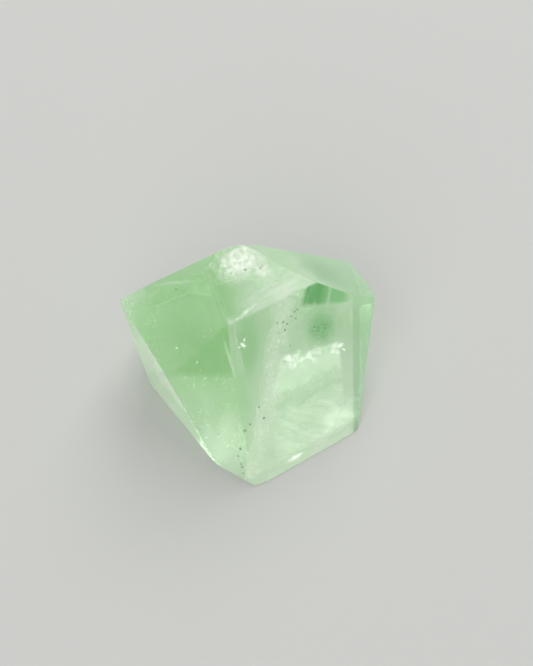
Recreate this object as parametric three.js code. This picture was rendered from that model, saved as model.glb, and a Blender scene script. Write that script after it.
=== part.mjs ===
// A polished freeform of green fluorite: one clear stone, ground flat by flat on a lap and laid on its
// widest flat. Millimetres, +Z up. The resting flat lies at Z = 0, with the origin under the middle of the
// stone, +X along its longest side and -Y towards its two large polished faces.

import * as THREE from 'three';
import { ConvexGeometry } from 'three/addons/geometries/ConvexGeometry.js';
import { mergeVertices } from 'three/addons/utils/BufferGeometryUtils.js';

// The polish has eased every edge between two flats to this radius, in this many steps.
const EDGE_RADIUS = 0.35;
const EDGE_STEPS = 3;

// Two points closer than this are one corner.
const SAME_POINT = 1e-4;

// One ground flat: the compass direction that it looks in (degrees from +X, anticlockwise from above),
// how far it looks up from level (degrees, negative is undercut) and its distance from the origin.
function flat(compass, lookUp, distance) {
  const turn = THREE.MathUtils.degToRad(compass);
  const lift = THREE.MathUtils.degToRad(lookUp);
  const normal = new THREE.Vector3(Math.cos(turn) * Math.cos(lift), Math.sin(turn) * Math.cos(lift), Math.sin(lift));
  return { normal, distance };
}

// The two large faces that meet at the front ridge, with the narrow bevel ground along the ridge.
const FRONT_RIGHT_FACE = flat(-58, 36.5, 17.1);
const FRONT_LEFT_FACE = flat(-124.5, 31, 18.15);
const FRONT_LEFT_FOOT = flat(-121.5, 26.5, 17.45);
const RIDGE_BEVEL = flat(-67, 37, 17.85);

// The sloping roof over them.
const ROOF_FRONT = flat(-57.5, 52, 21.7);
const ROOF_RIGHT = flat(39, 50.5, 28);
const ROOF_LEFT = flat(177, 56.5, 30.95);

// The left end stands almost upright, with a small heel at its foot, and is undercut behind.
const LEFT_END = flat(-143, 1, 16.4);
const LEFT_HEEL = flat(-135.5, 4.5, 17.5);
const LEFT_UNDERCUT = flat(165.5, -17, 17.55);

// The right end has a narrow face in front and is undercut behind it.
const RIGHT_SLIVER = flat(-38, 29, 20.6);
const RIGHT_UNDERCUT = flat(10, -19.5, 17.7);
const RIGHT_SHOULDER = flat(32.5, 14.5, 28.45);

// The back.
const BACK_LEFT = flat(114, 25.5, 21.55);
const BACK_CREST = flat(100.5, 28.5, 22.95);
const BACK_SLOPE = flat(90.5, 24, 21.65);
const BACK_WALL = flat(78, -3, 21.6);

// The flat that the stone rests on.
const RESTING_FLAT = flat(0, -90, 0);

const FLATS = [
  FRONT_RIGHT_FACE, FRONT_LEFT_FACE, FRONT_LEFT_FOOT, RIDGE_BEVEL,
  ROOF_FRONT, ROOF_RIGHT, ROOF_LEFT,
  LEFT_END, LEFT_HEEL, LEFT_UNDERCUT,
  RIGHT_SLIVER, RIGHT_UNDERCUT, RIGHT_SHOULDER,
  BACK_LEFT, BACK_CREST, BACK_SLOPE, BACK_WALL,
  RESTING_FLAT,
];

// Clear, slightly milky green fluorite.
const FLUORITE_GREEN = 0xa9d3a4;
const POLISHED_ROUGHNESS = 0.08;

// Where three flats cross, each first moved in by the edge radius, or null where they never do.
function crossing(a, b, c) {
  const bc = new THREE.Vector3().crossVectors(b.normal, c.normal);
  const ca = new THREE.Vector3().crossVectors(c.normal, a.normal);
  const ab = new THREE.Vector3().crossVectors(a.normal, b.normal);
  const spread = a.normal.dot(bc);
  if (Math.abs(spread) < SAME_POINT) return null;
  return bc.multiplyScalar(a.distance - EDGE_RADIUS)
    .addScaledVector(ca, b.distance - EDGE_RADIUS)
    .addScaledVector(ab, c.distance - EDGE_RADIUS)
    .divideScalar(spread);
}

function insideAllFlats(point) {
  return FLATS.every((side) => side.normal.dot(point) < side.distance - EDGE_RADIUS + SAME_POINT);
}

// The corners of the stone: each is a crossing of three flats that no other flat cuts away.
function stoneCorners() {
  const corners = [];
  FLATS.forEach((a, i) => {
    FLATS.slice(i + 1).forEach((b, j) => {
      FLATS.slice(i + j + 2).forEach((c) => {
        const place = crossing(a, b, c);
        if (place && insideAllFlats(place)) corners.push({ place, sides: [a, b, c] });
      });
    });
  });
  return corners;
}

// Points of the small ball that rounds a corner, on the patch between the directions of its three flats.
function roundedCorner({ place, sides }) {
  const points = [];
  for (let i = 0; i <= EDGE_STEPS; i += 1) {
    for (let j = 0; j <= EDGE_STEPS - i; j += 1) {
      const outward = new THREE.Vector3()
        .addScaledVector(sides[0].normal, i)
        .addScaledVector(sides[1].normal, j)
        .addScaledVector(sides[2].normal, EDGE_STEPS - i - j)
        .normalize();
      points.push(outward.multiplyScalar(EDGE_RADIUS).add(place));
    }
  }
  return points;
}

// The smallest convex skin over all the rounded corners has the flats and the eased edges between them.
function stoneGeometry() {
  const skin = new ConvexGeometry(stoneCorners().flatMap(roundedCorner));
  skin.deleteAttribute('normal');
  const merged = mergeVertices(skin, SAME_POINT);
  merged.computeVertexNormals();
  return merged;
}

const stone = new THREE.Mesh(
  stoneGeometry(),
  new THREE.MeshStandardMaterial({ color: FLUORITE_GREEN, roughness: POLISHED_ROUGHNESS, metalness: 0 }),
);
stone.name = 'fluorite_stone';

const freeform = new THREE.Group();
freeform.add(stone);

export default freeform;
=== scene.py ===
import math

import bpy
from mathutils import Euler, Matrix, Vector


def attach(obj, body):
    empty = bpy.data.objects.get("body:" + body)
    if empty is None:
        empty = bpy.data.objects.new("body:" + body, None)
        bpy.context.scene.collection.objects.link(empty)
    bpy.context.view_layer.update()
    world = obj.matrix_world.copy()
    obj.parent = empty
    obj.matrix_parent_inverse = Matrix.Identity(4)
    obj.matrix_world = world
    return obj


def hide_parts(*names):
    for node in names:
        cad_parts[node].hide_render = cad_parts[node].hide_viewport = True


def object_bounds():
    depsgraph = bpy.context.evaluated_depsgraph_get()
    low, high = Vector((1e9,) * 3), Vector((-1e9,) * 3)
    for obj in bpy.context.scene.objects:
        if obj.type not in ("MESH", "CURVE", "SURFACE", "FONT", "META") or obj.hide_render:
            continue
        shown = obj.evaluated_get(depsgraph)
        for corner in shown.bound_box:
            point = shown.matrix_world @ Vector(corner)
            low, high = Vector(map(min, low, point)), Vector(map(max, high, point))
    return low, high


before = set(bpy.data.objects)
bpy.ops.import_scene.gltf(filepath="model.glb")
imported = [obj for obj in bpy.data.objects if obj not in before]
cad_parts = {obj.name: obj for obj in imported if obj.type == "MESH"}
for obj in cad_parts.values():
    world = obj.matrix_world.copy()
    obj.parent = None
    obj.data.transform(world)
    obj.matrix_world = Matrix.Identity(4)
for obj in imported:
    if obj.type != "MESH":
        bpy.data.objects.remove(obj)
cad_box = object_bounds()

# ---------------------------------------------------------------------------
# The stone is one crystal of pale green fluorite, ground flat by flat on a
# lap and polished. It is cut here the same way, from a rough block, and the
# edges between the flats are eased.
# ---------------------------------------------------------------------------

MM = 0.001
ROUGH_BLOCK = 80 * MM
EASED_WIDTH = 0.75 * MM
EASED_STEPS = 3
ROUND_PROFILE = 0.5
EASED_TURN = math.radians(12)
SAME_POINT = 1e-7

# Compass direction and upward look of each flat in degrees, and its distance
# from the middle of the resting flat in millimetres.
FLATS = {
    "front_right_face": (-58, 36.5, 17.1),
    "front_left_face": (-124.5, 31, 18.15),
    "front_left_foot": (-121.5, 26.5, 17.45),
    "ridge_bevel": (-67, 37, 17.85),
    "roof_front": (-57.5, 52, 21.7),
    "roof_right": (39, 50.5, 28),
    "roof_left": (177, 56.5, 30.95),
    "left_end": (-143, 1, 16.4),
    "left_heel": (-135.5, 4.5, 17.5),
    "left_undercut": (165.5, -17, 17.55),
    "right_sliver": (-38, 29, 20.6),
    "right_undercut": (10, -19.5, 17.7),
    "right_shoulder": (32.5, 14.5, 28.45),
    "back_left": (114, 25.5, 21.55),
    "back_crest": (100.5, 28.5, 22.95),
    "back_slope": (90.5, 24, 21.65),
    "back_wall": (78, -3, 21.6),
    "resting_flat": (0, -90, 0),
}


def facing(compass, look_up):
    """The direction that a flat looks in."""
    turn, lift = math.radians(compass), math.radians(look_up)
    return Vector((math.cos(turn) * math.cos(lift), math.sin(turn) * math.cos(lift), math.sin(lift)))


def cut_away(point, outward):
    """Cuts off all that lies past a plane, and closes the mesh there."""
    bpy.ops.mesh.select_all(action="SELECT")
    bpy.ops.mesh.bisect(
        plane_co=point, plane_no=outward, use_fill=True, clear_outer=True, threshold=SAME_POINT,
    )


def cut_along_flats(depth):
    """Cuts the mesh along every flat of the stone, at a depth under it in millimetres."""
    for compass, look_up, distance in FLATS.values():
        outward = facing(compass, look_up)
        cut_away(outward * (distance - depth) * MM, outward)


bpy.ops.object.select_all(action="DESELECT")
bpy.ops.mesh.primitive_cube_add(size=ROUGH_BLOCK, location=(0, 0, 0))
stone = bpy.context.object
stone.name = "polished_stone"
bpy.ops.object.mode_set(mode="EDIT")
cut_along_flats(0)
bpy.ops.mesh.select_all(action="SELECT")
bpy.ops.mesh.remove_doubles(threshold=SAME_POINT)
bpy.ops.mesh.bevel(
    offset=EASED_WIDTH, offset_type="WIDTH", segments=EASED_STEPS, profile=ROUND_PROFILE,
    affect="EDGES", clamp_overlap=True,
)
# The stone is trimmed to the part's box, but not below, where it already rests
# on the box's lowest side.
lowest, highest = cad_box
for outward in [(-1, 0, 0), (0, -1, 0)]:
    cut_away(lowest, outward)
for outward in [(1, 0, 0), (0, 1, 0), (0, 0, 1)]:
    cut_away(highest, outward)
bpy.ops.mesh.select_all(action="SELECT")
bpy.ops.mesh.remove_doubles(threshold=SAME_POINT)
bpy.ops.mesh.normals_make_consistent(inside=False)
bpy.ops.object.mode_set(mode="OBJECT")
bpy.ops.object.shade_smooth_by_angle(angle=EASED_TURN)


class Reading:
    """One value of a finish, such as a mask: sums and products of it are Math nodes."""

    def __init__(self, finish, socket):
        self.finish, self.socket = finish, socket

    def sum(self, operation, first, second):
        return self.finish.node("Math", {"operation": operation}, {0: first, 1: second})

    def __add__(self, other):
        return self.sum("ADD", self, other)

    def __sub__(self, other):
        return self.sum("SUBTRACT", self, other)

    def __mul__(self, other):
        return self.sum("MULTIPLY", self, other)

    def __or__(self, other):
        return self.sum("MAXIMUM", self, other)

    def __radd__(self, other):
        return self.sum("ADD", other, self)

    def __rsub__(self, other):
        return self.sum("SUBTRACT", other, self)


class Finish:
    """The node recipe of one finish, whose places are in millimetres on the piece."""

    def __init__(self, name):
        self.material = bpy.data.materials.new(name)
        self.material.use_nodes = True
        self.tree = self.material.node_tree
        self.tree.nodes.clear()
        self.output = self.tree.nodes.new("ShaderNodeOutputMaterial")
        self.place = self.node("VectorMath", {"operation": "SCALE"}, {
            0: self.node("TexCoord", {}, {}, "Object"), "Scale": 1 / MM,
        })

    def node(self, kind, settings, sockets, output=0):
        """Adds one node: its settings first, then the values or links of its sockets."""
        new = self.tree.nodes.new("ShaderNode" + kind)
        for name, value in settings.items():
            setattr(new, name, value)
        for name, value in sockets.items():
            if isinstance(value, Reading):
                self.tree.links.new(value.socket, new.inputs[name])
            else:
                new.inputs[name].default_value = value
        return Reading(self, new.outputs[output])

    def fade(self, value, start, end):
        """0 where value is at start and 1 where it is at end, with soft ends."""
        return self.node("MapRange", {"interpolation_type": "SMOOTHSTEP"}, {
            "Value": value, "From Min": start, "From Max": end,
        })

    def noise(self, size, detail=2.0, place=None, warp=0.0):
        """Cloudy noise about 0.5, with lumps of a size in millimetres."""
        return self.node("TexNoise", {}, {
            "Vector": place or self.place, "Scale": 1 / size, "Detail": detail, "Distortion": warp,
        })

    def patches(self, size, detail, low, high):
        """Patches of 1 between gaps of 0, whose borders are softer the further low is from high."""
        return self.fade(self.noise(size, detail), low, high)

    def ragged(self, size, detail, reach):
        """A wandering length about 0, which makes a border ragged when it is added to a place."""
        return (self.noise(size, detail) - 0.5) * reach

    def blend(self, share, first, second):
        """A colour between two colours."""
        return self.node("Mix", {"data_type": "RGBA"}, {0: share, 6: first, 7: second}, 2)

    def along(self, direction):
        """How far a place lies along a direction, in millimetres."""
        return self.node("VectorMath", {"operation": "DOT_PRODUCT"}, {0: self.place, 1: direction}, "Value")

    def spot(self, across, up, middle, reach, edge=0.0):
        """1 in the middle of an oval spot and 0 past its reach, on two readings."""
        far = self.node("VectorMath", {"operation": "LENGTH"}, {0: self.node("CombineXYZ", {}, {
            0: (across - middle[0]) * (1 / reach[0]), 1: (up - middle[1]) * (1 / reach[1]),
        })}, "Value")
        return self.fade(far, 1.0, edge)

    def show(self, surface, inside=None):
        """Makes the finish's material of its surface and of what fills the piece."""
        self.tree.links.new(surface.socket, self.output.inputs["Surface"])
        if inside:
            self.tree.links.new(inside.socket, self.output.inputs["Volume"])
        return self.material


glassy = Finish("fluorite")
EDGE_SOFTNESS = 0.12
SKIN_DEPTH = 1.5
GLASS_BEND = 1.434
CLEAR_WHITE = (1.0, 1.0, 1.0, 1)
WHITE = (0.98, 1.0, 0.95, 1)
ROSE_GREY = (0.95, 0.93, 0.91, 1)
PALE = (0.92, 1.0, 0.88, 1)
GREEN = (0.47, 0.755, 0.39, 1)
DEEP_GREEN = (0.34, 0.64, 0.26, 1)
MOSS_GREEN = (0.32, 0.54, 0.27, 1)
EMERALD = (0.16, 0.44, 0.16, 1)
DARK_EMERALD = (0.11, 0.34, 0.11, 1)
GREY_GREEN = (0.42, 0.61, 0.42, 1)
SLATE_GREEN = (0.28, 0.44, 0.30, 1)
SOAKED_GREEN = (0.1, 0.82, 0.0, 1)
SOAKED_DENSITY = 10.0
# The milk's glow is painted light.
MILK_PAINTED_GLOW = 0.24


def flat_axes(flat):
    """A flat's directions sideways, up its slope and outward, and its distance in millimetres."""
    compass, look_up, distance = FLATS[flat]
    turn = math.radians(compass)
    sideways = Vector((-math.sin(turn), math.cos(turn), 0))
    outward = facing(compass, look_up)
    return sideways, outward.cross(sideways), outward, distance


def on_flat(finish, flat):
    """Readings across a flat, up its slope and out from it."""
    sideways, upward, outward, distance = flat_axes(flat)
    return finish.along(sideways), finish.along(upward), finish.along(outward) - distance


def this_side(own, *others):
    """1 on a flat, and 0 deep under it and past the edges that it shares with the others."""
    mask = glassy.fade(own, -SKIN_DEPTH, 0)
    for other in others:
        mask = mask * glassy.fade(own - other, -EDGE_SOFTNESS, EDGE_SOFTNESS)
    return mask


right_across, right_up, right_out = on_flat(glassy, "front_right_face")
left_across, left_up, left_out = on_flat(glassy, "front_left_face")
roof_across, roof_up, roof_out = on_flat(glassy, "roof_front")
shade_across, shade_up, shade_out = on_flat(glassy, "roof_right")
end_across, end_up, end_out = on_flat(glassy, "left_end")
ridge_across, ridge_up, ridge_out = on_flat(glassy, "ridge_bevel")
foot_out = on_flat(glassy, "front_left_foot")[2]
sliver_up, sliver_out = on_flat(glassy, "right_sliver")[1:]
back_roof_out = on_flat(glassy, "roof_left")[2]
rest_out = on_flat(glassy, "resting_flat")[2]

right_face = this_side(right_out, roof_out, shade_out, sliver_out, ridge_out)
left_side = this_side(left_out, end_out, back_roof_out, roof_out, ridge_out)
left_side = left_side | this_side(foot_out, end_out, ridge_out)
ridge = this_side(ridge_out, right_out, left_out, foot_out, roof_out)
roof = this_side(roof_out, right_out, left_out, shade_out, back_roof_out)
shaded_roof = this_side(shade_out, roof_out, right_out, sliver_out)
sliver = this_side(sliver_out, right_out, shade_out)
left_end = this_side(end_out, left_out, foot_out)
strip = this_side(back_roof_out, left_out, roof_out)

# Soft green clouds run through the pale stone. In what follows, a place is in
# millimetres across and up its flat, and a mask or a share runs from 0 to 1.
cloud = glassy.patches(8, 4, 0.38, 0.62)
ragged = glassy.ragged(2.5, 4, 4.0)
mottled = glassy.patches(1.4, 5, 0.40, 0.66)
tint = glassy.blend(cloud * 0.42, PALE, GREEN)

# The left side is the deepest green, and its green runs on over the roof's near
# end. It pales towards the far tip and the foot, has a darker corner by the
# ridge, and is flecked where the corner ends.
slope = left_up - left_across * 0.56
lobe = left_side * glassy.fade(left_across + ragged, -22.0, -16.0)
lobe = lobe * (0.32 + glassy.fade(slope + ragged * 0.6, -5.0, 8.0) * 0.68)
lobe = lobe | roof * glassy.fade(roof_across + ragged * 0.7, 0.8, -4.0) | strip * 0.7
tint = glassy.blend(lobe * (1.0 - mottled * 0.14), tint, GREEN)
corner = glassy.fade(left_across * 0.906 - left_up * 0.424 + ragged * 0.12, -9.3, -8.3)
corner = corner * glassy.fade(slope + ragged * 0.3, 7.4, 9.6) * left_side
tint = glassy.blend(corner, tint, DEEP_GREEN)
DEEP_MIDDLE, DEEP_REACH = (-6.5, 12.0), (12.5, 8.5)
deep = left_side * glassy.spot(left_across, left_up, DEEP_MIDDLE, DEEP_REACH)
tint = glassy.blend(deep * 0.82, tint, DEEP_GREEN)
pale_foot = left_side * glassy.fade(slope + ragged * 0.4, -8.6, -13.6)
tint = glassy.blend(pale_foot * 0.15, tint, WHITE)
fleck_line = glassy.fade(slope, 5.0, 7.6) * glassy.fade(slope, 10.0, 7.6)
flecks = glassy.patches(0.5, 3, 0.56, 0.68) * glassy.patches(4, 2, 0.42, 0.60)
flecks = flecks * (0.35 + fleck_line * 0.65) * left_side

# The right face is paler, though less so along its hem. Green shows on it
# beside the ridge and on the ridge, whose two edges and upper part carry
# painted white highlights.
hem = right_face * glassy.fade(glassy.along((0, 0, 1)), 4.0, 0.0)
tint = glassy.blend(right_face * 0.45 - hem * 0.12, tint, WHITE)
WEDGE_MIDDLE, WEDGE_REACH = (-8.4, 14.5), (3.4, 8.0)
wedge_across = right_across - right_up * 0.35 + ragged * 0.3
wedge = right_face * glassy.spot(wedge_across, right_up, WEDGE_MIDDLE, WEDGE_REACH, 0.4)
ridge_green = ridge * (0.1 + glassy.fade(ridge_up, -4.0, 8.0) * 0.65)
tint = glassy.blend(wedge * 0.85 | ridge_green, tint, GREEN)
# Painted highlights: two white lines along the ridge's edges, and a faint painted sheen on its upper part.
PAINTED_EDGE_HIGHLIGHTS = [((-6.2, 13.0), (0.42, 6.6)), ((-4.2, 13.4), (0.42, 6.2))]
highlight_across = ridge_across + ragged * 0.08
first_line, second_line = [
    glassy.spot(highlight_across, ridge_up, middle, reach, 0.2) for middle, reach in PAINTED_EDGE_HIGHLIGHTS
]
ridge_highlight = (first_line | second_line) * glassy.fade(ridge_out, -1.6, -0.4) * (ridge | left_side | right_face)
ridge_highlight = ridge_highlight * 0.42 | glassy.fade(ridge_up, 3.0, 14.0) * ridge * 0.15
tint = glassy.blend(ridge_highlight | flecks * 0.35, tint, WHITE)

# A soft pale line runs along the top of the left side, and the edge between
# that side and the roof is rubbed dull.
WASH_MIDDLE, WASH_REACH = (1.5, 24.9), (8.5, 0.5)
wash_across = left_across * 0.82 + left_up * 0.572
wash_up = left_up * 0.82 - left_across * 0.572 + ragged * 0.08
wash = left_side * glassy.spot(wash_across, wash_up, WASH_MIDDLE, WASH_REACH)
tint = glassy.blend(wash * 0.7, tint, WHITE)
past_edge = left_out - roof_out
rubbed = glassy.fade(past_edge, -1.2, -0.2) * glassy.fade(past_edge, 1.2, 0.2)
rubbed = rubbed * glassy.fade(left_out, -1.5, -0.3) * glassy.fade(roof_out, -1.5, -0.3)
tint = glassy.blend(rubbed * 0.8, tint, MOSS_GREEN)

# The right face is greyer at the top. A stippled green cloud, its heart, floats
# under an emerald window, a painted inner reflection, which is darkest and
# streaked at its left end.
grey_top = right_face * glassy.fade(right_up + ragged, 3.0, 12.0)
tint = glassy.blend(grey_top * 0.15, tint, GREY_GREEN)
HEART_MIDDLE, HEART_REACH = (11.0, 10.6), (6.4, 6.6)
heart_across, heart_up = right_across + ragged * 0.6, right_up + ragged * 0.4
heart = right_face * glassy.spot(heart_across, heart_up, HEART_MIDDLE, HEART_REACH, 0.05)
tint = glassy.blend(heart * (0.88 + glassy.patches(0.4, 1, 0.48, 0.64) * 0.12), tint, EMERALD)
tint = glassy.blend(glassy.fade(heart, 0.5, 1.0) * 0.25, tint, DARK_EMERALD)
# The emerald window is a painted reflection seen through the right face.
window_up = right_across * 0.459 + right_up * 0.888 + ragged * 0.25
window_across = right_across * 0.853 - right_up * 0.521 + ragged * 0.1
streaked = glassy.node("CombineXYZ", {}, {0: window_across, 1: window_up * 0.15})
streaked = glassy.fade(glassy.noise(0.7, 3, streaked), 0.35, 0.60)
painted_window_reflection = right_face * glassy.fade(window_up + streaked * 0.1, 18.2, 19.9)
painted_window_reflection = painted_window_reflection * glassy.fade(window_across, -1.6, -0.2) * glassy.fade(window_across, 11.2, 7.0)
tint = glassy.blend(painted_window_reflection * 0.93, tint, EMERALD)
painted_window_dark = painted_window_reflection * glassy.fade(window_across, 4.6, 2.6) * (0.65 + streaked * 0.35)
tint = glassy.blend(painted_window_dark, tint, DARK_EMERALD)
painted_window_line = painted_window_reflection * glassy.fade(window_across, 3.9, 4.3) * glassy.fade(window_across, 5.0, 4.5)
tint = glassy.blend(painted_window_line * 0.15, tint, PALE)

# The roof is white under its sugary patch, and frosted and scuffed along its
# front. Its right side turns a darker grey green, as the sliver under it does;
# it has a painted shade spot, and a painted white sheen where it is not grey.
# The sliver is painted darker towards its foot as shade.
SUGAR_MIDDLE, SUGAR_REACH = (2.4, 23.6), (7.5, 5.0)
sugar = roof * glassy.spot(roof_across + ragged, roof_up + ragged, SUGAR_MIDDLE, SUGAR_REACH)
frost = roof * glassy.fade(roof_up - roof_across * 0.45 + ragged * 0.8, 22.0, 14.5)
frost = frost * glassy.fade(roof_across, -5.5, 1.0) | roof * glassy.fade(right_out, -0.5, -0.1) * 0.8
brushed = glassy.node("CombineXYZ", {}, {0: roof_across * 0.16 + roof_up * 0.05, 1: roof_up, 2: roof_out})
brushed = glassy.fade(glassy.noise(0.6, 5, brushed, 0.5), 0.40, 0.64)
frost = frost * (0.45 + glassy.patches(1.6, 7, 0.30, 0.70) * 0.25 + brushed * 0.22)
SCUFF_MIDDLE, SCUFF_REACH = (-1.4, 15.35), (3.4, 0.55)
scuff_up = roof_up - roof_across * 0.2 + ragged * 0.08
scuff = roof * (0.3 + mottled * 0.7) * glassy.spot(roof_across, scuff_up, SCUFF_MIDDLE, SCUFF_REACH, 0.2)
GRAIN_MIDDLE, GRAIN_REACH = (5.0, 17.4), (4.0, 2.6)
grain = roof * glassy.spot(roof_across + ragged * 0.5, roof_up + ragged * 0.5, GRAIN_MIDDLE, GRAIN_REACH)
frost = frost + grain * (glassy.patches(0.45, 3, 0.45, 0.60) * 0.35)
grey = shaded_roof * glassy.fade(shade_up - shade_across * 0.3 + ragged * 0.8, 9.5, 2.5) | sliver
tint = glassy.blend(grey * 0.85, tint, GREY_GREEN)
# Painted shade: a darker spot on the roof's right side, and the sliver darkening towards its foot.
SHADE_MIDDLE, SHADE_REACH = (-1.5, 1.5), (5.5, 7.5)
shade = glassy.spot(shade_across + ragged * 0.5, shade_up + ragged, SHADE_MIDDLE, SHADE_REACH, 0.2)
shade = shaded_roof * shade * 0.60 | sliver * glassy.fade(sliver_up, 14.0, -6.0) * 0.45
tint = glassy.blend(shade, tint, SLATE_GREEN)
# Painted sheen: white on the roof's right side where it is not grey.
roof_painted_sheen = shaded_roof * (1.0 - grey)
tint = glassy.blend(roof_painted_sheen * 0.3 | frost * 0.7 | sugar * 0.8 | scuff * 0.8, tint, WHITE)

# The thin left end is nearly clear and a little rosy, with a greener outer rim.
rim = glassy.fade(end_across * 0.924 + end_up * 0.384, -6.6, -7.4) | glassy.fade(end_up, 6.9, 6.1)
tint = glassy.blend(left_end * 0.85, tint, ROSE_GREY)
tint = glassy.blend(left_end * rim * 0.45, tint, GREEN)

# The underside is a little duller than the rest, and is painted darker as shade,
# more so towards the left.
underside = glassy.fade(rest_out, -0.3, 0)
under_left = glassy.fade(glassy.along((1, 0, 0)), 8.0, -4.0)
tint = glassy.blend(underside * (0.15 + under_left * 0.35), tint, GREY_GREEN)

# About a quarter of the surface is milk, which stands for the light that the
# stone scatters inside; the milk also glows a little, which is painted light.
# Frost, the heart, the painted window reflection and the underside are milkier.
milky = 0.25 + cloud * 0.05 + left_side * (0.01 + mottled * 0.03)
milky = milky - right_face * 0.06 + hem * 0.10 + left_end * 0.06
milky = milky + painted_window_reflection * 0.62 + heart * 0.30 + (ridge_highlight | scuff) * 0.35
milky = milky + frost * 0.16 + flecks * 0.15 + grey * 0.12 + rubbed * 0.30 + underside * 0.32
roughness = 0.05 + (frost + rubbed) * 0.15 + (left_side + underside) * 0.05
clearness = 0.7 - (deep | corner | heart) * 0.30
clear = glassy.node("BsdfPrincipled", {}, {
    "Base Color": glassy.blend(clearness, tint, CLEAR_WHITE),
    "Roughness": roughness, "IOR": GLASS_BEND, "Transmission Weight": 1.0,
}, "BSDF")
# The milk glows with painted light, as if lit from inside.
milk = glassy.node("BsdfPrincipled", {}, {
    "Base Color": tint, "Roughness": roughness, "IOR": GLASS_BEND,
    "Emission Color": tint, "Emission Strength": MILK_PAINTED_GLOW,
}, "BSDF")
stone.data.materials.clear()
stone.data.materials.append(glassy.show(
    glassy.node("MixShader", {}, {0: milky, 1: clear, 2: milk}),
    glassy.node("VolumeAbsorption", {}, {"Color": SOAKED_GREEN, "Density": SOAKED_DENSITY}),
))

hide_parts("fluorite_stone")
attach(stone, "root")

# ---------------------------------------------------------------------------
# Healed cracks lie inside the stone as thin, wavy, milky sheets. The silver
# veil hangs behind the right face, with paler haze below it, and a rosy grey
# band of dust climbs from the front foot to the roof.
# ---------------------------------------------------------------------------

SHEET_SIZE = 60 * MM
SHEET_CUTS = 60
SHEET_THICKNESS = 0.05 * MM
WAVE_LENGTH = 4 * MM
CLEAR_OF_SKIN = 0.4
HAIR = 0.001 * MM
SHEET_TURN = EASED_TURN * 3
SHEET_ROUGHNESS = 0.6
# The sheets' glow, and each sheet's shine colour below, are painted light.
SHEET_PAINTED_GLOW = 0.55


def stand_on(flat, depth):
    """The place of a piece that lies a depth under a flat, with its own axes across, up and out."""
    sideways, upward, outward, distance = flat_axes(flat)
    turned = Matrix((sideways, upward, outward)).transposed().to_4x4()
    return Matrix.Translation(outward * (distance - depth) * MM) @ turned


def healed_crack(name, flat, depth, outline, ripple, finish):
    """Models one crack as a thin wavy sheet with a convex outline, kept inside the skin."""
    bpy.ops.object.select_all(action="DESELECT")
    bpy.ops.mesh.primitive_grid_add(
        x_subdivisions=SHEET_CUTS, y_subdivisions=SHEET_CUTS, size=SHEET_SIZE, location=(0, 0, 0)
    )
    crack = bpy.context.object
    crack.name = name
    waves = bpy.data.textures.new(name + "_waves", "CLOUDS")
    waves.noise_scale = WAVE_LENGTH
    bend = crack.modifiers.new("waves", "DISPLACE")
    bend.texture, bend.strength, bend.mid_level = waves, ripple * MM, 0.5
    bend.texture_coords = "LOCAL"
    bpy.ops.object.modifier_apply(modifier="waves")
    wall = crack.modifiers.new("wall", "SOLIDIFY")
    wall.thickness, wall.offset = SHEET_THICKNESS, 0
    bpy.ops.object.modifier_apply(modifier="wall")
    bpy.ops.object.mode_set(mode="EDIT")
    for start, end in zip(outline, outline[1:] + outline[:1]):
        start, end = Vector((*start, 0)) * MM, Vector((*end, 0)) * MM
        side = (end - start).normalized()
        cut_away(start, (side.y, -side.x, 0))
    bpy.ops.object.mode_set(mode="OBJECT")
    crack.matrix_world = stand_on(flat, depth)
    bpy.ops.object.transform_apply(location=True, rotation=True, scale=True)
    bpy.ops.object.mode_set(mode="EDIT")
    cut_along_flats(CLEAR_OF_SKIN)
    bpy.ops.mesh.select_all(action="SELECT")
    bpy.ops.mesh.dissolve_degenerate(threshold=HAIR)
    bpy.ops.mesh.select_all(action="SELECT")
    bpy.ops.mesh.normals_make_consistent(inside=False)
    bpy.ops.object.mode_set(mode="OBJECT")
    bpy.ops.object.shade_smooth_by_angle(angle=SHEET_TURN)
    crack.data.materials.append(finish)
    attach(crack, "root")


def milky_sheet(finish, share, colour, painted_glow_colour):
    """A thin white layer that glows a little with painted light, and is clear where its share is 0."""
    front = finish.node("BsdfPrincipled", {}, {
        "Base Color": colour, "Roughness": SHEET_ROUGHNESS,
        "Emission Color": painted_glow_colour, "Emission Strength": SHEET_PAINTED_GLOW,
    }, "BSDF")
    through = finish.node("BsdfTranslucent", {}, {"Color": colour})
    layer = finish.node("MixShader", {}, {0: 0.5, 1: front, 2: through})
    gap = finish.node("BsdfTransparent", {}, {})
    return finish.show(finish.node("MixShader", {}, {0: share, 1: gap, 2: layer}))


# The silver veil is brightest along its lumpy top, which ends in a white knot on
# the left and in a white spray on the right. Fainter haze falls from it.
VEIL_DEPTH, VEIL_RIPPLE = 3.5, 0.8
VEIL_OUTLINE = [(-3.4, -1.6), (3.6, -2.4), (14.9, -1.4), (17.0, 4.4), (4.0, 9.9), (2.0, 9.1)]
VEIL_GREEN = (0.88, 1.0, 0.85, 1)
SOFT_SHINE = (0.62, 0.73, 0.60, 1)
KNOT_MIDDLE, KNOT_REACH = (0.9, 8.05), (2.3, 1.15)
SPRAY_MIDDLE, SPRAY_REACH = (13.4, 4.8), (2.6, 1.3)
silver = Finish("silver_veil")
veil_across, veil_up, _ = on_flat(silver, "front_right_face")
veil_ragged = silver.ragged(1.6, 5, 3.4)
veil_lumps = silver.patches(1.3, 5, 0.38, 0.60)
veil_fall = 8.0 - (veil_across * 0.265 + veil_up * 0.964) + veil_ragged
veil_from_left = veil_across * 0.816 - veil_up * 0.578
veil_sides = silver.fade(veil_from_left, -2.5, -2.1) * silver.fade(veil_across - veil_up * 0.19, 13.6, 12.9)
knot_across = veil_across * 0.92 - veil_up * 0.39 + veil_ragged * 0.7
knot_up = veil_across * 0.39 + veil_up * 0.92 + veil_ragged * 0.6
knot = silver.spot(knot_across, knot_up, KNOT_MIDDLE, KNOT_REACH, 0.25) * (0.6 + veil_lumps * 0.4)
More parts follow.
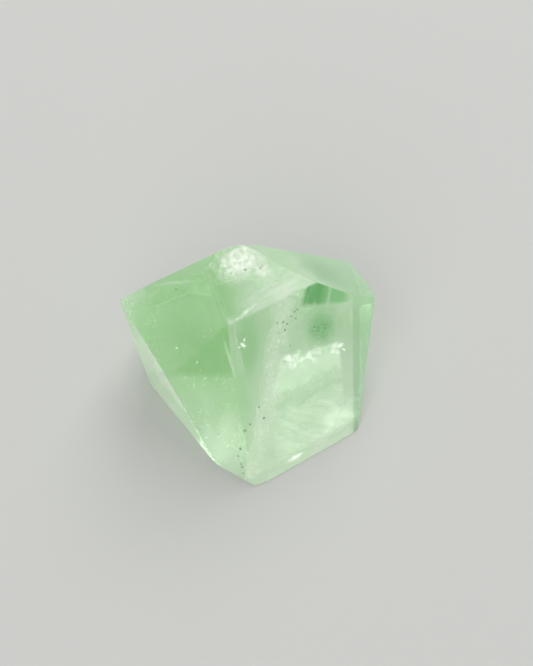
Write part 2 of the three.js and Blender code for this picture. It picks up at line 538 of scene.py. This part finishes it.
spray = silver.spot(veil_across, veil_up, SPRAY_MIDDLE, SPRAY_REACH) * (0.4 + veil_lumps * 0.6)
veil_bright = silver.fade(veil_fall, -1.0, 0.4) * silver.fade(veil_fall, 3.4, 1.0)
veil_bright = veil_bright * silver.fade(veil_from_left, -2.6, 0.6)
veil_bright = veil_bright * (0.52 + veil_lumps * 0.40) | knot | spray
veil_haze = silver.fade(veil_across * 0.08 + veil_up + veil_ragged, -0.8, 2.6)
veil_haze = veil_haze * silver.fade(veil_fall, 0.0, 0.8)
veil_core = veil_bright * (0.25 + veil_lumps * 0.75) | knot
veil_share = (veil_bright | veil_haze * (0.34 + silver.noise(3.0, 4) * 0.40)) * veil_sides
veil_colour = silver.blend(veil_core, VEIL_GREEN, CLEAR_WHITE)
veil_shine = silver.blend(veil_core, SOFT_SHINE, CLEAR_WHITE)
veil_finish = milky_sheet(silver, veil_share, veil_colour, veil_shine)
healed_crack("silver_veil", "front_right_face", VEIL_DEPTH, VEIL_OUTLINE, VEIL_RIPPLE, veil_finish)

# The dusty band is a cloud of rosy grey dust with brighter grains. It spreads
# to the left as it comes down, and thins out above the foot.
DUST_DEPTH, DUST_RIPPLE = 2.0, 0.6
DUST_OUTLINE = [(-11.5, -16.0), (-6.0, -16.0), (10.5, 15.0), (10.0, 21.0), (5.0, 21.0), (-12.0, -10.0)]
DUST_GREY = (0.95, 0.95, 0.90, 1)
DUST_SHINE = (0.74, 0.74, 0.69, 1)
dusty = Finish("dusty_band")
dust_across, dust_up, _ = on_flat(dusty, "front_right_face")
dust_offset = dust_across * 0.864 - dust_up * 0.503 + 3.7 + dusty.ragged(3.0, 4, 4.0)
dust_spread = dusty.fade(dust_up, 0.0, -12.0) * 1.8
dust_share = dusty.fade(dust_offset + dust_spread, -3.2, -0.6) * dusty.fade(dust_offset, 3.2, 0.6)
dust_grains = dusty.patches(0.5, 2, 0.60, 0.72)
dust_share = dust_share * (0.20 + dusty.noise(2.4, 3) * 0.22 + dust_grains * 0.22)
dust_share = dust_share * dusty.fade(dust_up, -19.0, -8.0)
dust_finish = milky_sheet(dusty, dust_share, DUST_GREY, DUST_SHINE)
healed_crack("dusty_band", "front_right_face", DUST_DEPTH, DUST_OUTLINE, DUST_RIPPLE, dust_finish)

# The sugary patch is a crust of white grains under the top of the roof, with a
# smaller patch below it.
SUGAR_DEPTH, SUGAR_RIPPLE = 1.4, 1.2
SUGAR_OUTLINE = [(-4.5, 20.0), (3.0, 16.5), (9.0, 17.5), (10.0, 22.5), (4.0, 28.5), (-3.5, 28.0)]
SUGAR_WHITE = (1.0, 1.0, 0.98, 1)
SUGAR_SHINE = (0.76, 0.76, 0.74, 1)
CRUST_MIDDLE, CRUST_REACH = (2.2, 23.8), (6.4, 4.4)
CRUMB_MIDDLE, CRUMB_REACH = (5.6, 20.8), (2.6, 3.0)
sugary = Finish("sugary_patch")
sugar_across, sugar_up, _ = on_flat(sugary, "roof_front")
sugar_ragged = sugary.ragged(1.6, 5, 4.0)
crust = sugary.spot(sugar_across + sugar_ragged, sugar_up - sugar_ragged, CRUST_MIDDLE, CRUST_REACH, 0.2)
crumbs = sugary.spot(sugar_across + sugar_ragged, sugar_up, CRUMB_MIDDLE, CRUMB_REACH, 0.2)
sugar_share = (crust | crumbs * 0.8) * (0.40 + sugary.patches(0.8, 6, 0.42, 0.56) * 0.6)
sugar_finish = milky_sheet(sugary, sugar_share, SUGAR_WHITE, SUGAR_SHINE)
healed_crack("sugary_patch", "roof_front", SUGAR_DEPTH, SUGAR_OUTLINE, SUGAR_RIPPLE, sugar_finish)

# The foot flash is a short crack just above the foot, whose one white streak
# is a painted highlight that glows.
FLASH_DEPTH, FLASH_RIPPLE = 0.8, 0.3
FLASH_OUTLINE = [(-4.6, -12.0), (0.8, -12.2), (0.8, -10.2), (-4.6, -10.0)]
FLASH_MIDDLE, FLASH_REACH = (-1.9, -11.1), (2.4, 0.58)
flash = Finish("foot_flash")
flash_across, flash_up, _ = on_flat(flash, "front_right_face")
streak = flash.spot(flash_across, flash_up + flash.ragged(0.8, 3, 0.6), FLASH_MIDDLE, FLASH_REACH, 0.3)
flash_finish = milky_sheet(flash, streak * 0.9, SUGAR_WHITE, SUGAR_WHITE)
healed_crack("foot_flash", "front_right_face", FLASH_DEPTH, FLASH_OUTLINE, FLASH_RIPPLE, flash_finish)

# The lower haze is feathery, brightest low on the right, and ends before the
# foot and the side edges. A dark green wisp crosses its top.
HAZE_DEPTH, HAZE_RIPPLE = 1.1, 0.8
HAZE_OUTLINE = [(-8.5, -17.0), (13.0, -17.0), (17.0, 2.0), (-1.5, 2.0), (-8.5, -8.0)]
HAZE_GREEN = (0.89, 1.0, 0.86, 1)
HAZE_SHINE = (0.94, 0.96, 0.93, 1)
WISP_GREEN = (0.30, 0.55, 0.34, 1)
LOW_MIDDLE, LOW_REACH = (8.6, -9.2), (7.4, 6.4)
hazy = Finish("lower_haze")
haze_across, haze_up, _ = on_flat(hazy, "front_right_face")
haze_ragged = hazy.ragged(2.6, 5, 5.0)
feather = hazy.node("CombineXYZ", {}, {
    0: (haze_across * 0.78 - haze_up * 0.62) * 0.25, 1: haze_across * 0.62 + haze_up * 0.78,
})
feather = hazy.fade(hazy.noise(2.0, 5, feather), 0.34, 0.70)
haze_share = hazy.fade(haze_up + haze_across * 0.06 + haze_ragged, 1.0, -3.5) * 0.34
haze_share = haze_share * (0.7 + feather * 0.7)
low_across, low_up = haze_across + haze_ragged * 0.5, haze_up + haze_ragged * 0.4
haze_low = hazy.spot(low_across, low_up, LOW_MIDDLE, LOW_REACH, 0.25)
haze_share = haze_share | haze_low * (0.46 + hazy.patches(2.0, 6, 0.35, 0.68) * 0.18 + feather * 0.18)
haze_right = hazy.fade(haze_across - haze_up * 0.22, 12.7, 12.0) | hazy.fade(haze_up, -4.0, -7.0)
haze_left = hazy.fade(haze_across - haze_up * 0.3, -5.0, -1.0)
haze_foot = hazy.fade(hazy.along((0, 0, 1)), 0.7, 1.8)
haze_share = haze_share * haze_right * haze_left * haze_foot
wisp_up = haze_up - haze_across * 0.055 + hazy.ragged(5.0, 3, 5.0)
wisp = hazy.fade(wisp_up, -2.2, -1.3) * hazy.fade(wisp_up, -0.2, -1.2)
wisp = wisp * hazy.fade(haze_across, 0.5, 3.0) * hazy.fade(haze_across, 12.7, 11.6)
haze_colour = hazy.blend(wisp * 0.8, HAZE_GREEN, WISP_GREEN)
haze_shine = hazy.blend(haze_low * feather, SOFT_SHINE, HAZE_SHINE)
haze_finish = milky_sheet(hazy, haze_share | wisp * 0.45, haze_colour, haze_shine)
healed_crack("lower_haze", "front_right_face", HAZE_DEPTH, HAZE_OUTLINE, HAZE_RIPPLE, haze_finish)

# ---------------------------------------------------------------------------
# Small bits are locked in the stone: dark specks of other mineral along the
# dusty band, and bright glints, tiny cracks whose glint is painted: they glow white.
# ---------------------------------------------------------------------------


def small_bits(name, first, bits, form, finish):
    """Makes one piece of many copies of the first bit, each turned its own way and set in the stone."""
    made = []
    for number, (flat, across, up, depth, size) in enumerate(bits):
        bit = first.copy()
        bit.data = first.data.copy()
        bpy.context.collection.objects.link(bit)
        turned = Euler((number * 1.3, number * 0.7, number * 2.1)).to_matrix().to_4x4()
        bit.matrix_world = (
            stand_on(flat, depth) @ Matrix.Translation(Vector((across, up, 0)) * MM)
            @ turned @ Matrix.Diagonal((*[size * side for side in form], 1))
        )
        made.append(bit)
    bpy.data.objects.remove(first)
    bpy.ops.object.select_all(action="DESELECT")
    for bit in made:
        bit.select_set(True)
    bpy.context.view_layer.objects.active = made[0]
    bpy.ops.object.join()
    piece = bpy.context.object
    piece.name = name
    bpy.ops.object.transform_apply(location=True, rotation=True, scale=True)
    piece.data.materials.append(finish)
    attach(piece, "root")


# One speck is an angular chip. Each one's flat, its place across and up that
# flat, its depth and its size follow, in millimetres.
SPECKS = [
    ("front_right_face", 4.9, 14.9, 1.2, 0.36), ("front_right_face", 5.5, 14.2, 1.2, 0.34),
    ("front_right_face", 6.7, 15.2, 1.2, 0.36), ("front_right_face", 7.7, 15.6, 1.2, 0.36),
    ("front_right_face", 7.4, 14.3, 1.2, 0.30), ("front_right_face", 4.7, 13.3, 1.2, 0.38),
    ("front_right_face", 3.4, 13.3, 1.2, 0.30), ("front_right_face", 4.6, 10.1, 1.2, 0.34),
    ("front_right_face", 3.8, 15.3, 1.2, 0.30), ("front_right_face", 8.3, 15.8, 1.2, 0.30),
    ("front_right_face", -5.1, 1.9, 1.2, 0.38), ("front_right_face", -5.0, -0.6, 1.2, 0.48),
    ("front_right_face", -7.8, -0.4, 1.2, 0.36), ("front_left_foot", 7.9, 1.2, 1.2, 0.40),
    ("front_left_foot", 8.3, -2.8, 1.0, 0.54), ("front_left_foot", 8.3, -4.5, 0.8, 0.36),
    ("front_left_foot", 9.3, -5.9, 0.8, 0.40), ("front_left_foot", 9.7, -6.4, 0.8, 0.36),
    ("front_left_foot", 10.3, -7.6, 0.8, 0.34), ("roof_front", 2.2, 21.8, 1.0, 0.40),
    ("roof_front", 4.9, 20.8, 1.0, 0.44), ("roof_front", 5.4, 21.0, 1.0, 0.32),
    ("front_left_face", -12.7, 19.7, 1.6, 0.36), ("front_left_foot", 3.0, -3.0, 2.4, 0.28),
]
SPECK_FORM = (0.9, 0.64, 0.55)
CHIP_RADIUS = 1 * MM
CHIP_CUTS = [(30, 20, 0.5), (150, -35, 0.6), (260, 50, 0.45)]
SPECK_GREEN = (0.05, 0.10, 0.05, 1)
SPECK_BROWN = (0.17, 0.23, 0.13, 1)
bpy.ops.object.select_all(action="DESELECT")
bpy.ops.mesh.primitive_ico_sphere_add(subdivisions=1, radius=CHIP_RADIUS, location=(0, 0, 0))
chip = bpy.context.object
bpy.ops.object.mode_set(mode="EDIT")
for compass, look_up, distance in CHIP_CUTS:
    outward = facing(compass, look_up)
    cut_away(outward * distance * MM, outward)
bpy.ops.object.mode_set(mode="OBJECT")
speck_finish = Finish("dark_speck")
speck_finish.show(speck_finish.node("BsdfPrincipled", {}, {
    "Base Color": speck_finish.blend(speck_finish.noise(0.3), SPECK_GREEN, SPECK_BROWN),
    "Roughness": 0.5,
}, "BSDF"))
small_bits("dark_specks", chip, SPECKS, SPECK_FORM, speck_finish.material)

# One glint is a small star of sharp points, and is placed as the specks are.
GLINTS = [
    ("front_right_face", 14.3, 4.5, 3.0, 0.75), ("front_right_face", 14.7, 3.4, 3.0, 0.45),
    ("front_right_face", 12.6, 5.2, 3.0, 0.35), ("front_right_face", 11.2, 5.6, 3.0, 0.30),
    ("front_right_face", -3.4, 14.0, 3.0, 0.85), ("front_right_face", -2.8, 14.8, 3.0, 0.40),
    ("front_right_face", -4.2, 13.9, 3.0, 0.40),
    ("front_right_face", 2.5, 14.0, 3.0, 0.22), ("front_right_face", 0.8, 10.7, 3.0, 0.22),
    ("front_left_face", -9.0, 8.7, 2.0, 0.32), ("front_left_face", -4.3, 8.3, 2.0, 0.28),
    ("front_left_face", -15.0, 11.5, 2.0, 0.18), ("front_left_face", -3.2, 7.1, 2.0, 0.20),
    ("front_left_face", -7.6, 25.1, 2.0, 0.22), ("front_left_foot", 1.2, -4.5, 1.2, 0.26),
    ("front_left_foot", -1.4, 0.3, 1.2, 0.22),
]
GLINT_FORM = (1.0, 0.55, 0.35)
STAR_RADIUS = 0.45 * MM
STAR_POINT = 1.1 * MM
GLINT_GREEN = (0.9, 1.0, 0.9, 1)
# The glints' glow is a painted highlight.
GLINT_PAINTED_GLOW = 0.35
bpy.ops.object.select_all(action="DESELECT")
bpy.ops.mesh.primitive_ico_sphere_add(subdivisions=1, radius=STAR_RADIUS, location=(0, 0, 0))
star = bpy.context.object
bpy.ops.object.mode_set(mode="EDIT")
bpy.ops.mesh.select_all(action="SELECT")
bpy.ops.mesh.poke(offset=STAR_POINT)
bpy.ops.object.mode_set(mode="OBJECT")
glint_finish = Finish("bright_glint")
glint_finish.show(glint_finish.node("BsdfPrincipled", {}, {
    "Base Color": glint_finish.blend(glint_finish.noise(0.3), GLINT_GREEN, CLEAR_WHITE),
    "Roughness": 0.3, "Emission Color": CLEAR_WHITE, "Emission Strength": GLINT_PAINTED_GLOW,
}, "BSDF"))
small_bits("bright_glints", star, GLINTS, GLINT_FORM, glint_finish.material)

# ---------------------------------------------------------------------------
# The floor is one plain pale sheet. The room is evenly lit, with one soft light
# behind the stone to the right and a weaker one in front.
# ---------------------------------------------------------------------------

FLOOR_SIZE = 3.0
FLOOR_GAP = 0.02 * MM
FLOOR_GREY = (0.63, 0.635, 0.615, 1)
ROOM_WHITE = (1.0, 1.0, 0.99, 1)
ROOM_LIGHT = 0.50
bpy.ops.object.select_all(action="DESELECT")
bpy.ops.mesh.primitive_plane_add(size=FLOOR_SIZE, location=(0, 0, -FLOOR_GAP))
floor = bpy.context.object
floor.name = "floor"
paper = Finish("pale_floor")
floor.data.materials.append(paper.show(paper.node("BsdfPrincipled", {}, {
    "Base Color": FLOOR_GREY, "Roughness": 0.9, "Specular IOR Level": 0.2,
}, "BSDF")))

world = bpy.data.worlds.new("soft_room")
world.use_nodes = True
world.node_tree.nodes["Background"].inputs["Color"].default_value = ROOM_WHITE
world.node_tree.nodes["Background"].inputs["Strength"].default_value = ROOM_LIGHT
bpy.context.scene.world = world


def soft_box(name, place, size, power):
    """A square soft light aimed at the stone."""
    bpy.ops.object.light_add(type="AREA", location=place)
    lamp = bpy.context.object
    lamp.name = name
    lamp.data.shape = "SQUARE"
    lamp.data.size = size
    lamp.data.energy = power
    lamp.rotation_euler = (-Vector(place)).to_track_quat("-Z", "Y").to_euler()


soft_box("window_light", (0.24, 0.9, 0.93), size=0.8, power=8.5)
soft_box("front_fill", (-0.3, -1.0, 0.75), size=1.2, power=6)

# ---------------------------------------------------------------------------
# The camera looks down on the stone from the front.
# ---------------------------------------------------------------------------

CAMERA_PLACE = (3.4 * MM, -131.9 * MM, 227.4 * MM)
CAMERA_DOWN = math.radians(58)
LENS = 72.5
SENSOR = 36
NEAREST = 0.01
SHEETS_SEEN_THROUGH = 24
bpy.ops.object.camera_add(location=CAMERA_PLACE, rotation=(math.radians(90) - CAMERA_DOWN, 0, 0))
camera = bpy.context.object
camera.data.lens = LENS
camera.data.sensor_width = SENSOR
camera.data.sensor_fit = "AUTO"
camera.data.clip_start = NEAREST
bpy.context.scene.camera = camera
bpy.context.scene.cycles.transparent_max_bounces = SHEETS_SEEN_THROUGH
bpy.context.scene.view_settings.view_transform = "Standard"
